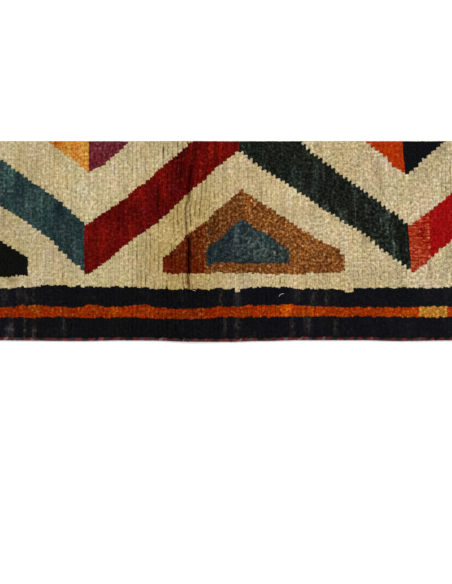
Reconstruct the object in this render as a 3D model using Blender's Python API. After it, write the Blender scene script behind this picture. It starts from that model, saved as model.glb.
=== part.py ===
"""A cut length of a hand-knotted Qashqai rug, lying pile up on a flat surface.

The rug is two sewn-together pieces. The knotted cloth is one thick sheet: a woven ground with
a wool pile, cut straight on three sides. Its fourth side is the rug's own selvedge, overcast
with two yarns into a round side cord. X runs along the selvedge, Y across the rug away from
it, Z up. The origin is under the middle of the piece, on the surface that it lies on.
"""

import math

import bmesh
import bpy

MM = 0.001

# The weave. A row of knots lies across the rug, every ROW_PITCH along the selvedge.
ROW_PITCH = 4.6 * MM
ROWS = 109
KNOT_PITCH = 3.2 * MM
KNOTS = 66

# The cloth: the woven ground with the pile standing on it.
GROUND = 2.6 * MM
PILE = 6.2 * MM
RIM_DROP = 0.7 * MM
RIM_WIDTH = 3.0 * MM

# The overcast side cord. CORD_SHOWS of it is in sight beside the pile.
CORD_RADIUS = 2.8 * MM
CORD_SHOWS = 4.1 * MM
CORD_SEAT = 0.35 * MM
WRAP_GROUPS = 98
WRAP_WAIST = 0.3 * MM
WRAP_SLANT = 0.45
CORD_SIDES = 10

# The old fold: a parting between two rows of pile, on the crest of a low swell.
CREASE_ROW = 46
CREASE_DEPTH = 4.2 * MM
SWELL_RISE = 1.8 * MM
SWELL_REACH = 42.0 * MM

# Slow unevenness of the clipped pile.
WAVE_HEIGHT = 0.25 * MM
WAVE_ALONG = 71.0 * MM
WAVE_ACROSS = 58.0 * MM

LENGTH = ROWS * ROW_PITCH
WIDTH = KNOTS * KNOT_PITCH + CORD_SHOWS
CREASE_X = CREASE_ROW * ROW_PITCH - LENGTH / 2

# How far the selvedge draws in from a straight line. Columns: place along X, inset.
EDGE_INSET = (
    (-251 * MM, 1.7 * MM),
    (-155 * MM, 0.9 * MM),
    (-112 * MM, 1.6 * MM),
    (-80 * MM, 1.5 * MM),
    (-37 * MM, 0.2 * MM),
    (5 * MM, 0.0 * MM),
    (37 * MM, 0.9 * MM),
    (80 * MM, 1.8 * MM),
    (145 * MM, 1.8 * MM),
    (187 * MM, 0.9 * MM),
    (251 * MM, 1.7 * MM),
)

# How deep the furrow between two rows of pile is. Columns: place along X, depth.
FURROW_DEPTH = (
    (-251 * MM, 0.30 * MM),
    (-125 * MM, 0.40 * MM),
    (-95 * MM, 0.90 * MM),
    (-45 * MM, 1.40 * MM),
    (-15 * MM, 0.90 * MM),
    (20 * MM, 0.35 * MM),
    (251 * MM, 0.30 * MM),
)

# Where the slab's top has a line of points. The rim lines round the cut edge over.
ACROSS = (0.0, 0.03, 0.15, 0.27, 0.39, 0.51, 0.63, 0.75, 0.87, 1.0)


def eased(table, place):
    """The value at a place, smoothly between the two rows of the table that it lies between."""
    if place <= table[0][0]:
        return table[0][1]
    for (low, before), (high, after) in zip(table, table[1:]):
        if place <= high:
            share = (place - low) / (high - low)
            return before + (after - before) * (1 - math.cos(math.pi * share)) / 2
    return table[-1][1]


def lift(x):
    """How far the swell under the old fold holds the cloth off the surface."""
    away = abs(x - CREASE_X) / SWELL_REACH
    return SWELL_RISE * (1 + math.cos(math.pi * away)) / 2 if away < 1 else 0.0


def selvedge(x):
    """Y of the cord's outer side."""
    return -WIDTH / 2 + eased(EDGE_INSET, x)


def pile_edge(x):
    """Y at which the pile ends, over the cord."""
    return selvedge(x) + CORD_SHOWS


def clipped_height(x, y):
    """Height of the pile's surface over the underside of the cloth, between furrows."""
    wave = math.sin(x / WAVE_ALONG * math.tau) * math.cos(y / WAVE_ACROSS * math.tau)
    from_edge = min(LENGTH / 2 - abs(x), WIDTH / 2 - y, y - pile_edge(x))
    rim = max(0.0, 1 - from_edge / RIM_WIDTH)
    return GROUND + PILE + WAVE_HEIGHT * wave - RIM_DROP * rim * rim


def furrow(half_row):
    """Depth cut into the top at this half-row: rows meet at the even ones."""
    if half_row % 2 or half_row in (0, 2 * ROWS):
        return 0.0
    if half_row == 2 * CREASE_ROW:
        return CREASE_DEPTH
    return eased(FURROW_DEPTH, half_row * ROW_PITCH / 2 - LENGTH / 2)


def cord_centre(x):
    """(y, z) of the cord's middle."""
    return selvedge(x) + CORD_RADIUS, CORD_RADIUS + lift(x)


def cord_side_profile(x):
    """(y, z) points of the cloth's side from the underside up: it hugs the cord, and the pile
    leans out over it."""
    y, z = cord_centre(x)
    seat = CORD_RADIUS + CORD_SEAT
    return [
        (y + seat * 1.12, lift(x)),
        (y + seat * 1.10, z + seat * 0.05),
        (y + seat * 0.80, z + seat * 0.78),
        (pile_edge(x), z + seat * 1.12),
    ]


def cloth_section(half_row):
    """The closed (y, z) outline of the cloth across the rug at one half-row, from the underside
    of the selvedge round over the pile to the underside of the cut edge."""
    x = half_row * ROW_PITCH / 2 - LENGTH / 2
    start, end = pile_edge(x), WIDTH / 2
    outline = cord_side_profile(x)
    for share in ACROSS:
        y = start + (end - start) * share
        top = clipped_height(x, y) - furrow(half_row)
        outline.append((y, lift(x) + top))
    outline.append((end, lift(x)))
    return x, outline


def mesh_object(name, bm, material, smooth_angle):
    bmesh.ops.recalc_face_normals(bm, faces=bm.faces)
    mesh = bpy.data.meshes.new(name)
    bm.to_mesh(mesh)
    bm.free()
    mesh.materials.append(material)
    mesh.shade_smooth()
    mesh.set_sharp_from_angle(angle=math.radians(smooth_angle))
    piece = bpy.data.objects.new(name, mesh)
    bpy.context.scene.collection.objects.link(piece)
    return piece


def bridge(bm, rings):
    """Skins a run of closed rings of points and caps both ends."""
    for before, after in zip(rings, rings[1:]):
        count = len(before)
        for i in range(count):
            j = (i + 1) % count
            bm.faces.new((before[i], before[j], after[j], after[i]))
    bm.faces.new(rings[0])
    bm.faces.new(reversed(rings[-1]))


def make_cloth(material):
    """The knotted cloth, skinned over one section for each row of knots and each furrow."""
    bm = bmesh.new()
    rings = []
    for half_row in range(2 * ROWS + 1):
        x, outline = cloth_section(half_row)
        rings.append([bm.verts.new((x, y, z)) for y, z in outline])
    bridge(bm, rings)
    return mesh_object("knotted_cloth", bm, material, smooth_angle=60)


def make_side_cord(material):
    """The overcast side cord: a bulge for each group of wraps, with a waist between groups."""
    bm = bmesh.new()
    rings = []
    steps = 2 * WRAP_GROUPS
    for step in range(steps + 1):
        x = LENGTH * (step / steps - 0.5)
        centre_y, centre_z = cord_centre(x)
        radius = CORD_RADIUS - (0 if step % 2 else WRAP_WAIST)
        slant = WRAP_SLANT * min(1.0, step / 2, (steps - step) / 2)
        ring = []
        for side in range(CORD_SIDES):
            angle = math.tau * (side + 0.5) / CORD_SIDES
            reach = radius / math.cos(math.pi / CORD_SIDES)
            across, up = reach * math.cos(angle), reach * math.sin(angle)
            up = min(max(up, -CORD_RADIUS), CORD_RADIUS)
            ring.append(bm.verts.new((x + slant * across, centre_y + across, centre_z + up)))
        rings.append(ring)
    bridge(bm, rings)
    return mesh_object("side_cord", bm, material, smooth_angle=50)


def wool(name, colour, roughness):
    material = bpy.data.materials.new(name)
    material.use_nodes = True
    shader = material.node_tree.nodes["Principled BSDF"]
    shader.inputs["Base Color"].default_value = (*colour, 1.0)
    shader.inputs["Roughness"].default_value = roughness
    shader.inputs["Metallic"].default_value = 0.0
    material.diffuse_color = (*colour, 1.0)
    return material


def main():
    for old in list(bpy.data.objects):
        bpy.data.objects.remove(old)
    make_cloth(wool("undyed_pile_wool", (0.50, 0.39, 0.22), roughness=0.95))
    make_side_cord(wool("madder_and_grey_yarn", (0.12, 0.05, 0.05), roughness=0.9))


main()
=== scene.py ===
"""The looks of a cut length of a hand-knotted Qashqai rug, lying pile up.

Every knot of the rug's chart is made as its two cut ends of wool, standing on a woven ground,
beside a selvedge that is overcast with two yarns. X runs along the selvedge, Y across the rug,
Z up. Rows of knots are counted from the left cut edge, knots from the selvedge.
"""

import math
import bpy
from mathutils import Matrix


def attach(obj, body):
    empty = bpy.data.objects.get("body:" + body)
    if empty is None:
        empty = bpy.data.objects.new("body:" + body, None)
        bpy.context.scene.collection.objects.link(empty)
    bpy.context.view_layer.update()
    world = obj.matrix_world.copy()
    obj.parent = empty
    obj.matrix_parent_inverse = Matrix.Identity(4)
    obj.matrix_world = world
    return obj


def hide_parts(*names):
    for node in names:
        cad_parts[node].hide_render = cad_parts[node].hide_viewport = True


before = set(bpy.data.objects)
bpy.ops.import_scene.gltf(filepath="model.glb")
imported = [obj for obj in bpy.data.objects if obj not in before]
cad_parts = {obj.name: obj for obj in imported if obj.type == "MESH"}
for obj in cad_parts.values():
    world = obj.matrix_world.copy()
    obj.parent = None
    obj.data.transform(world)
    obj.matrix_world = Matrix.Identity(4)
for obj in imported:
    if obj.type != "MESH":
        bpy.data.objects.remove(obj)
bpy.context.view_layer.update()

from types import SimpleNamespace

import bpy
import numpy as np

MM = 0.001

# The weave, as the solids have it. A row of knots lies across the rug.
ROW_PITCH = 4.6 * MM
ROWS = 109
KNOT_PITCH = 3.2 * MM
KNOTS = 66
GROUND = 2.6 * MM
PILE = 6.2 * MM
RIM_DROP = 0.7 * MM
RIM_WIDTH = 3.0 * MM
WAVE_HEIGHT = 0.25 * MM
WAVE_ALONG = 71.0 * MM
WAVE_ACROSS = 58.0 * MM

# The overcast side cord, as the solids have it.
CORD_RADIUS = 2.8 * MM
CORD_SHOWS = 4.1 * MM
WRAP_GROUPS = 98
WRAPS_IN_GROUP = 4
WRAP_SLANT = 0.45

# The old fold, as the solids have it: a parting on the crest of a low swell.
CREASE_ROW = 46
SWELL_RISE = 1.8 * MM
SWELL_REACH = 42.0 * MM

LENGTH = ROWS * ROW_PITCH
WIDTH = KNOTS * KNOT_PITCH + CORD_SHOWS
CREASE_X = CREASE_ROW * ROW_PITCH - LENGTH / 2

# How far the selvedge draws in from a straight line. Columns, in mm: place along X, inset.
EDGE_INSET = (
    (-251, 1.7), (-155, 0.9), (-112, 1.6), (-80, 1.5), (-37, 0.2), (5, 0.0),
    (37, 0.9), (80, 1.8), (145, 1.8), (187, 0.9), (251, 1.7),
)

# How open the rows stand. Columns, in mm: place along X, depth of the furrow between rows.
FURROW_DEPTH = (
    (-251, 0.30), (-125, 0.40), (-95, 0.90), (-45, 1.40), (-15, 0.90), (20, 0.35), (251, 0.30),
)
FURROW_LEAST = 0.3
FURROW_MOST = 1.4

# The guard stripes are beaten in unevenly, so their edges wander. Columns, in mm: place along
# X, then Y of the orange stripe's outer edge, of its inner edge, and of the ivory ground's edge.
STRIPE_EDGES = (
    (-251, -80.8, -72.0, -50.2), (-205, -80.8, -67.2, -48.0), (-185, -80.0, -69.8, -46.6),
    (-160, -80.8, -71.4, -47.4), (-145, -81.5, -67.0, -48.0), (-125, -81.2, -69.6, -48.0),
    (-111, -80.8, -70.6, -48.2), (-100, -81.4, -69.0, -48.8), (-88, -82.0, -67.4, -49.2),
    (-72, -82.3, -71.0, -50.6), (-50, -82.0, -72.0, -50.2), (-20, -81.8, -71.4, -50.4),
    (0, -81.1, -70.4, -50.6), (20, -80.9, -68.2, -49.6), (38, -80.4, -68.2, -48.4),
    (60, -80.5, -68.0, -48.8), (78, -79.8, -68.0, -50.2), (100, -79.4, -69.8, -50.4),
    (123, -79.8, -70.0, -51.0), (145, -79.2, -70.4, -49.4), (190, -79.9, -70.6, -49.0),
    (219, -81.0, -69.2, -49.6), (251, -79.8, -69.8, -48.2),
)
# The knots that those edges lie at, between the pile's edge and the far cut edge.
OUTER_NAVY, STRIPE_END, INNER_NAVY_END = 7, 11, 17
KNOT_LINES = (0, OUTER_NAVY, STRIPE_END, INNER_NAVY_END, KNOTS)

# Rows that were beaten closer or looser. Columns: rows from the left, shift along X in mm.
ROW_DRIFT = (
    (0, 0.0), (9, -2.0), (22, -1.0), (40, 0.0), (50, 0.4), (58, -1.1), (69, 1.6), (82, 0.3),
    (97, -1.1), (109, 0.0),
)

# The line of the old fold. Columns, in mm: place along Y, shift of the parting along X.
CREASE_LINE = (
    (-102, 0.0), (-51, -0.4), (-37, -2.0), (-32, 0.1), (2, 0.1), (9, -2.6), (34, -3.6),
    (49, -0.4), (108, 4.4),
)
# Rows on either side that bend with it.
CREASE_BENDS_ROWS = 7
# How the pile stands beside it. Columns: place along Y and how far the pile leans away, in mm,
# then how wide the furrow gapes and how dark the painted shade on the pile beside it is.
CREASE_OPENING = (
    (-102, 0.1, 0.0, 0.0), (-72, 0.1, 0.1, 0.3), (-57, 0.1, 0.1, 0.2), (-50, 0.2, 0.2, 0.8),
    (-38, 0.4, 0.2, 0.85), (-33, 1.4, 0.3, 0.68), (2, 1.4, 0.3, 0.68), (8, 0.3, 0.8, 0.45),
    (32, 0.2, 0.9, 0.4), (40, 0.3, 0.6, 0.3), (47, 0.3, 0.1, 0.75), (52, 0.3, 0.0, 0.8),
    (74, 0.3, 0.0, 0.8), (90, 0.2, 0.0, 0.4), (108, 0.1, 0.0, 0.0),
)
# How far the painted shade reaches on either side of it, and how far to the right its middle
# is, in rows.
CREASE_SHADE_REACH = 0.55
CREASE_SHADE_ASIDE = 0.15
# How far the pile's surface dips towards it, and how many rows out that and the lean fade.
CREASE_ROUNDING = 0.7 * MM
CREASE_FADES_ROWS = 1.8

# Furrows that gape. Columns: row that each is before, knots that it runs between, how far.
WIDE_FURROWS = (
    (36, 16, 22, 1.0), (36, 28, 35, 1.0), (38, 24, 30, 0.8), (39, 16, 24, 0.5), (34, 24, 32, 0.5),
    (48, 38, 50, 0.6), (49, 42, 54, 0.6), (50, 16, 22, 0.5), (41, 60, 66, 0.8), (43, 40, 46, 0.4),
    (32, 17, 24, 0.4), (52, 45, 56, 0.4),
)
# How far any row's furrow gapes where the rows stand open, how much that changes, and over how
# many rows and knots.
GAPE_MEAN, GAPE_CHANGES, GAPE_OVER = 0.35, 1.35, (1, 3)

# Rows from SLANT_STARTS on lie askew, and SLANT_ROW the most. They turn about SLANT_CENTRE along
# Y, and beyond SLANT_STOPS they run straight on.
SLANT_ROW = 97
SLANT_STARTS = 75
SLANT = 0.065
SLANT_CENTRE = 38.0 * MM
SLANT_STOPS = -32.0 * MM

# Seeds of the random draws: the pile's dyes have their own.
SEED = 46
DYE_SEED = 7


def eased(table, place, column=1):
    """A column of a table at each place, smoothly between the rows that the place lies between."""
    rows = np.array(table, float)
    places, values = rows[:, 0], rows[:, column]
    low = np.clip(np.searchsorted(places, place) - 1, 0, len(places) - 2)
    share = np.clip((place - places[low]) / (places[low + 1] - places[low]), 0, 1)
    return values[low] + (values[low + 1] - values[low]) * (1 - np.cos(np.pi * share)) / 2


def along(table, x, column=1):
    """eased() for a table in millimetres at places in metres."""
    return eased(table, np.asarray(x) / MM, column) * MM


def lift(x):
    """How far the swell under the old fold holds the cloth off the surface."""
    away = np.minimum(np.abs(x - CREASE_X) / SWELL_REACH, 1)
    return SWELL_RISE * (1 + np.cos(np.pi * away)) / 2


def selvedge(x):
    """Y of the cord's outer side."""
    return -WIDTH / 2 + along(EDGE_INSET, x)


def pile_edge(x):
    """Y at which the pile ends, over the cord."""
    return selvedge(x) + CORD_SHOWS


def clipped_height(x, y):
    """Height of the pile's surface over the underside of the cloth."""
    wave = np.sin(x / WAVE_ALONG * math.tau) * np.cos(y / WAVE_ACROSS * math.tau)
    from_edge = np.minimum(np.minimum(LENGTH / 2 - np.abs(x), WIDTH / 2 - y), y - pile_edge(x))
    rim = np.maximum(0.0, 1 - from_edge / RIM_WIDTH)
    return GROUND + PILE + WAVE_HEIGHT * wave - RIM_DROP * rim * rim


def weave_place(row, knot):
    """(x, y) of a point of the weave, from its rows from the left and its knots from the edge."""
    x = row * ROW_PITCH - LENGTH / 2 + eased(ROW_DRIFT, row) * MM
    lines = [pile_edge(x)] + [along(STRIPE_EDGES, x, column) for column in (1, 2, 3)]
    lines.append(np.full_like(x, WIDTH / 2))
    y = lines[0] + np.minimum(knot, 0) * KNOT_PITCH
    for i, (first, last) in enumerate(zip(KNOT_LINES, KNOT_LINES[1:])):
        y = y + np.clip((knot - first) / (last - first), 0, 1) * (lines[i + 1] - lines[i])
    near_crease = np.maximum(0, 1 - np.abs(row - CREASE_ROW) / CREASE_BENDS_ROWS)
    rising = (row - SLANT_STARTS) / (SLANT_ROW - SLANT_STARTS)
    falling = (ROWS - row) / (ROWS - SLANT_ROW)
    askew = SLANT * (SLANT_CENTRE - np.maximum(y, SLANT_STOPS))
    x = x + near_crease * along(CREASE_LINE, y)
    x = x + askew * np.clip(np.minimum(rising, falling), 0, 1)
    return x, y


class Mottle:
    """Soft random numbers over the rug, about 0 and mostly between -1 and 1."""

    SPREAD = 0.55

    def __init__(self, chance, rows_apart, knots_apart):
        self.steps = rows_apart, knots_apart
        size = int(ROWS / rows_apart) + 4, int(KNOTS / knots_apart) + 4
        self.values = chance.normal(0, self.SPREAD, size)

    def at(self, row, knot):
        place = [np.asarray(row) / self.steps[0] + 1, np.asarray(knot) / self.steps[1] + 1]
        low = [np.floor(p).astype(int) for p in place]
        share = [p - q for p, q in zip(place, low)]
        share = [s * s * (3 - 2 * s) for s in share]
        (i, j), (s, t), grid = low, share, self.values
        near = grid[i, j] * (1 - t) + grid[i, j + 1] * t
        far = grid[i + 1, j] * (1 - t) + grid[i + 1, j + 1] * t
        return near * (1 - s) + far * s


def linear(colour):
    """A colour given as the eye sees it, 0 to 255, in the light's own numbers."""
    c = np.asarray(colour, float) / 255
    return np.where(c <= 0.04045, c / 12.92, ((c + 0.055) / 1.055) ** 2.4)


# The chart

# Pale fibres, and the sheen painted into the grain, lighten a dye's weak colours most: this is
# what keeps that in bounds.
HAZE = 11


def yarn(slot, mid, light, deep, streak, speckle, heather, wander=(0.1, 0.1), fleck=None,
         flecks=0.0, level=False):
    """A dyed wool. streak is how much its rows differ, speckle how much its ends differ, heather
    how mixed its fibres are, and wander how far its red and its blue stray; flecks is the share
    that has the fleck colour, and level says that the mixture lies across rows."""
    return SimpleNamespace(
        slot=slot, mid=linear(mid), light=linear(light), deep=linear(deep), streak=streak,
        speckle=speckle, heather=heather, wander=wander, fleck=linear(fleck or light),
        flecks=flecks, level=level, spread=[(max(mid) + HAZE) / (c + HAZE) for c in mid],
    )


YARNS = {
    "ivory": yarn("ivory_wool", (177, 160, 120), (208, 194, 158), (132, 112, 76),
                  0.28, 0.08, 0.6, (0.05, 0.11), (112, 88, 58), 0.1),
    "coarse_ivory": yarn("ivory_wool", (178, 161, 121), (208, 194, 158), (122, 102, 70),
                         0.3, 0.12, 0.78, (0.05, 0.11), (106, 85, 58), 0.15),
    "navy": yarn("navy_wool", (14, 14, 17), (58, 52, 49), (8, 8, 11), 0.05, 0.05, 0.6, (0.0, 0.1)),
    "black": yarn("navy_wool", (14, 14, 12), (44, 40, 34), (8, 8, 7), 0.05, 0.06, 0.6),
    "orange": yarn("orange_wool", (137, 43, 8), (180, 88, 18), (104, 24, 7),
                   0.2, 0.14, 0.72, (-0.25, 0.4)),
    "straw": yarn("yellow_wool", (171, 115, 48), (196, 148, 80), (122, 68, 18), 0.2, 0.2, 0.9),
    "madder": yarn("madder_wool", (89, 13, 10), (122, 22, 13), (46, 6, 7),
                   0.5, 0.08, 0.62, (0.12, 0.55)),
    "scarlet": yarn("scarlet_wool", (141, 14, 17), (176, 60, 40), (104, 7, 10),
                    0.06, 0.06, 0.4, (0.1, 0.3)),
    "coral": yarn("scarlet_wool", (147, 45, 28), (210, 128, 90), (128, 14, 12),
                  0.2, 0.15, 1.05, (0.15, 0.2), (208, 134, 100), 0.25, level=True),
    "teal": yarn("teal_wool", (38, 53, 53), (72, 98, 92), (16, 25, 33),
                 0.38, 0.12, 1.25, (0.15, 0.1)),
    "green": yarn("green_wool", (28, 31, 26), (92, 106, 94), (11, 14, 11), 0.21, 0.1, 2.0),
    "camel": yarn("camel_wool", (107, 66, 37), (160, 108, 63), (58, 31, 17),
                  0.25, 0.12, 1.6, (0.06, 0.1), (172, 124, 76), 0.12),
    "brick": yarn("brick_wool", (88, 29, 11), (110, 68, 34), (46, 12, 7),
                  0.32, 0.14, 0.95, (0.15, 0.2)),
    "slate": yarn("teal_wool", (30, 40, 42), (84, 96, 89), (16, 21, 25),
                  0.2, 0.1, 1.6, (0.2, 0.15), (112, 124, 114), 0.08),
    "yellow": yarn("yellow_wool", (181, 125, 54), (206, 156, 80), (156, 80, 17), 0.32, 0.1, 0.75),
    "purple": yarn("purple_wool", (94, 36, 42), (138, 72, 78), (58, 16, 26),
                   0.35, 0.1, 1.05, (0.12, 0.2)),
    "flame": yarn("orange_wool", (155, 48, 12), (190, 80, 28), (124, 27, 7), 0.15, 0.08, 0.5),
}

# Each motif as the weaver counts it: its yarn, its first row and the row after its last, then
# the knots at which its lower and its upper edge turn, as (rows from the left, knots up).
TOP = ((0, KNOTS), (ROWS, KNOTS))
MOTIFS = (
    ("yellow_point", "yellow", 13, 23, ((13.3, 66), (18.5, 60.6), (23, 55.7)), TOP),
    ("purple_point", "purple", 23, 33, ((23, 55.6), (26.3, 57.6), (32.6, 66)), TOP),
    ("flame_point", "flame", 88, 97,
     ((88.1, 66), (90.8, 62.5), (92.7, 60.7), (94.3, 57.5), (97, 55.4)), TOP),
    ("navy_point", "navy", 97, 106,
     ((97, 54.7), (98.1, 55.3), (101, 59.6), (103.3, 62.7), (106, 66)), TOP),
    ("black_wedge", "black", 0, 9, ((0, 20.6), (4.1, 20.6), (8.4, 21.1)),
     ((0, 34.3), (2.2, 33), (6.4, 29.3), (8.7, 27.2))),
    ("teal_band", "teal", 0, 22, ((0, 46.3), (8.7, 39.1), (13.6, 33), (18.5, 26.2), (22, 22)),
     ((0, 62.2), (8.1, 54.4), (15.2, 46.9), (22, 38.3))),
    ("madder_band", "madder", 22, 58,
     ((22, 21), (23.2, 21.2), (28, 26.6), (30.9, 30.4), (34.5, 34.6), (41.4, 41.6),
      (45.3, 47.7), (51.7, 56.3), (58, 63.1)),
     ((22, 37.4), (27, 42.5), (29.9, 44.9), (33.8, 50.1), (36.6, 53.1), (37.8, 54.9),
      (42.3, 60.7), (46, 66))),
    ("green_band", "green", 58, 97,
     ((58, 63.1), (59.6, 61.2), (62.9, 56.8), (65.7, 54.2), (71.3, 49.3), (74.8, 45.9),
      (77.2, 43.4), (79.6, 41.6), (82.6, 38.4), (84.8, 37.1), (88, 33.4), (90.7, 29.5), (97, 22.7)),
     ((71.3, 66), (75.5, 61.2), (78.9, 57.6), (83.8, 52.3), (88.3, 48), (90.8, 45.5), (92.4, 43),
      (97, 38.5))),
    ("coral_start", "coral", 97, 102, ((97, 21.9), (97.7, 21.8), (102.5, 27.6)),
     ((97, 37.3), (98.1, 38.6), (102.2, 42.9))),
    ("scarlet_band", "scarlet", 102, 109, ((97.7, 21.8), (102.5, 27.6), (109, 34.6)),
     ((98.1, 38.6), (102.2, 42.9), (109, 50.2))),
    ("camel_triangle", "camel", 40, 82,
     ((40, 22), (50, 22.1), (54, 22.4), (60, 22), (64, 21.4), (69, 21.4), (73, 22), (76, 22.4),
      (80.8, 22.4), (82, 24)),
     ((40, 27.1), (42.6, 30.1), (43.9, 32.2), (47.9, 36.8), (50.9, 40), (52.4, 43),
      (57.3, 48.4), (58.6, 50.3), (59.6, 48.6), (64.8, 43.2), (71.3, 37.4), (76.8, 32.7),
      (80.9, 30.2), (82, 27.2))),
    ("brick_corner", "brick", 40, 50, ((40, 22), (50, 22)),
     ((40, 27.1), (42.6, 30.1), (43.9, 32.2), (47.9, 36.8), (50, 39))),
    ("slate_heart", "slate", 50, 69,
     ((50, 24.8), (52, 25.4), (55, 26), (58, 25.5), (62, 24.9), (69, 24.9)),
     ((50, 30.6), (52.4, 32.7), (54.3, 35.1), (57.3, 38.9), (58.6, 40.2), (60.2, 38.5),
      (61.8, 36.6), (63.8, 35.3), (67, 31.6), (69, 29.6))),
)
# Rows where the ivory ground dips a knot into the inner navy stripe.
IVORY_DIPS = (57, 82, 83)
STRAW_FIRST, STRAW_END = 99, 106
IVORY_PARTS = (
    ("ivory_left", "ivory", 0, 37), ("ivory_middle", "ivory", 37, 73),
    ("ivory_right", "coarse_ivory", 73, ROWS),
)


# A knot is tied as two cut ends, this share of a row apart.
ENDS = 2
END_APART = 0.46
# An edge between two yarns draws this many knots on either side with it, by this much at most.
EDGE_DRAWS = 3
EDGE_DRAWS_MOST = 0.8
# How closely the two ends of a knot follow the slope of an edge, by row.
EDGE_FOLLOWS = (
    (0, 0.2), (20, 0.3), (27, 0.8), (54, 0.8), (62, 0.0), (96, 0.0), (102, 0.4), (109, 0.4),
)
# Motifs whose edges are combed instead: in each row the ends step against the slope.
EDGE_COMBED = {"green_band": -0.6}


def draw_chart():
    """For each row and knot, the number of the piece that it belongs to; the pieces; and how
    many knots each end is drawn up so that the motifs' edges run true."""
    pieces = [(name, yarn_name) for name, yarn_name, _, _ in IVORY_PARTS]
    chart = np.zeros((ROWS, KNOTS), int)
    drawn = np.zeros((ROWS, KNOTS, ENDS))
    middles = np.arange(KNOTS)[:, None] + 0.5
    ends_at = END_APART * (np.arange(ENDS) - 0.5)
    for number, (_, _, first, last) in enumerate(IVORY_PARTS):
        chart[first:last] = number

    def edge(row, line, follows):
        true = np.interp(row + 0.5 + ends_at * follows, *zip(*line))
        knot = int(np.round(true.mean()))
        reach = np.clip(1 - np.abs(middles - knot) / EDGE_DRAWS, 0, 1)
        if 0 < knot < KNOTS:
            pulled = drawn[row] + (true - knot) * reach
            drawn[row] = np.clip(pulled, -EDGE_DRAWS_MOST, EDGE_DRAWS_MOST)
        return knot

    def work(name, yarn_name, first, last, low, high):
        pieces.append((name, yarn_name))
        for row in range(first, last):
            follows = EDGE_COMBED.get(name, eased(EDGE_FOLLOWS, row))
            chart[row, edge(row, low, follows):edge(row, high, follows)] = len(pieces) - 1

    for motif in MOTIFS:
        work(*motif)

    def flat(knot):
        return ((0, knot), (ROWS, knot))

    work("outer_navy_stripe", "navy", 0, ROWS, flat(0), flat(OUTER_NAVY))
    work("orange_stripe", "orange", 0, ROWS, flat(OUTER_NAVY), flat(STRIPE_END))
    work("straw_stripe", "straw", STRAW_FIRST, STRAW_END, flat(OUTER_NAVY), flat(STRIPE_END))
    work("inner_navy_stripe", "navy", 0, ROWS, flat(STRIPE_END), flat(INNER_NAVY_END))
    for row in IVORY_DIPS:
        chart[row, INNER_NAVY_END - 1] = chart[row, INNER_NAVY_END]
    return chart, pieces, drawn


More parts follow.
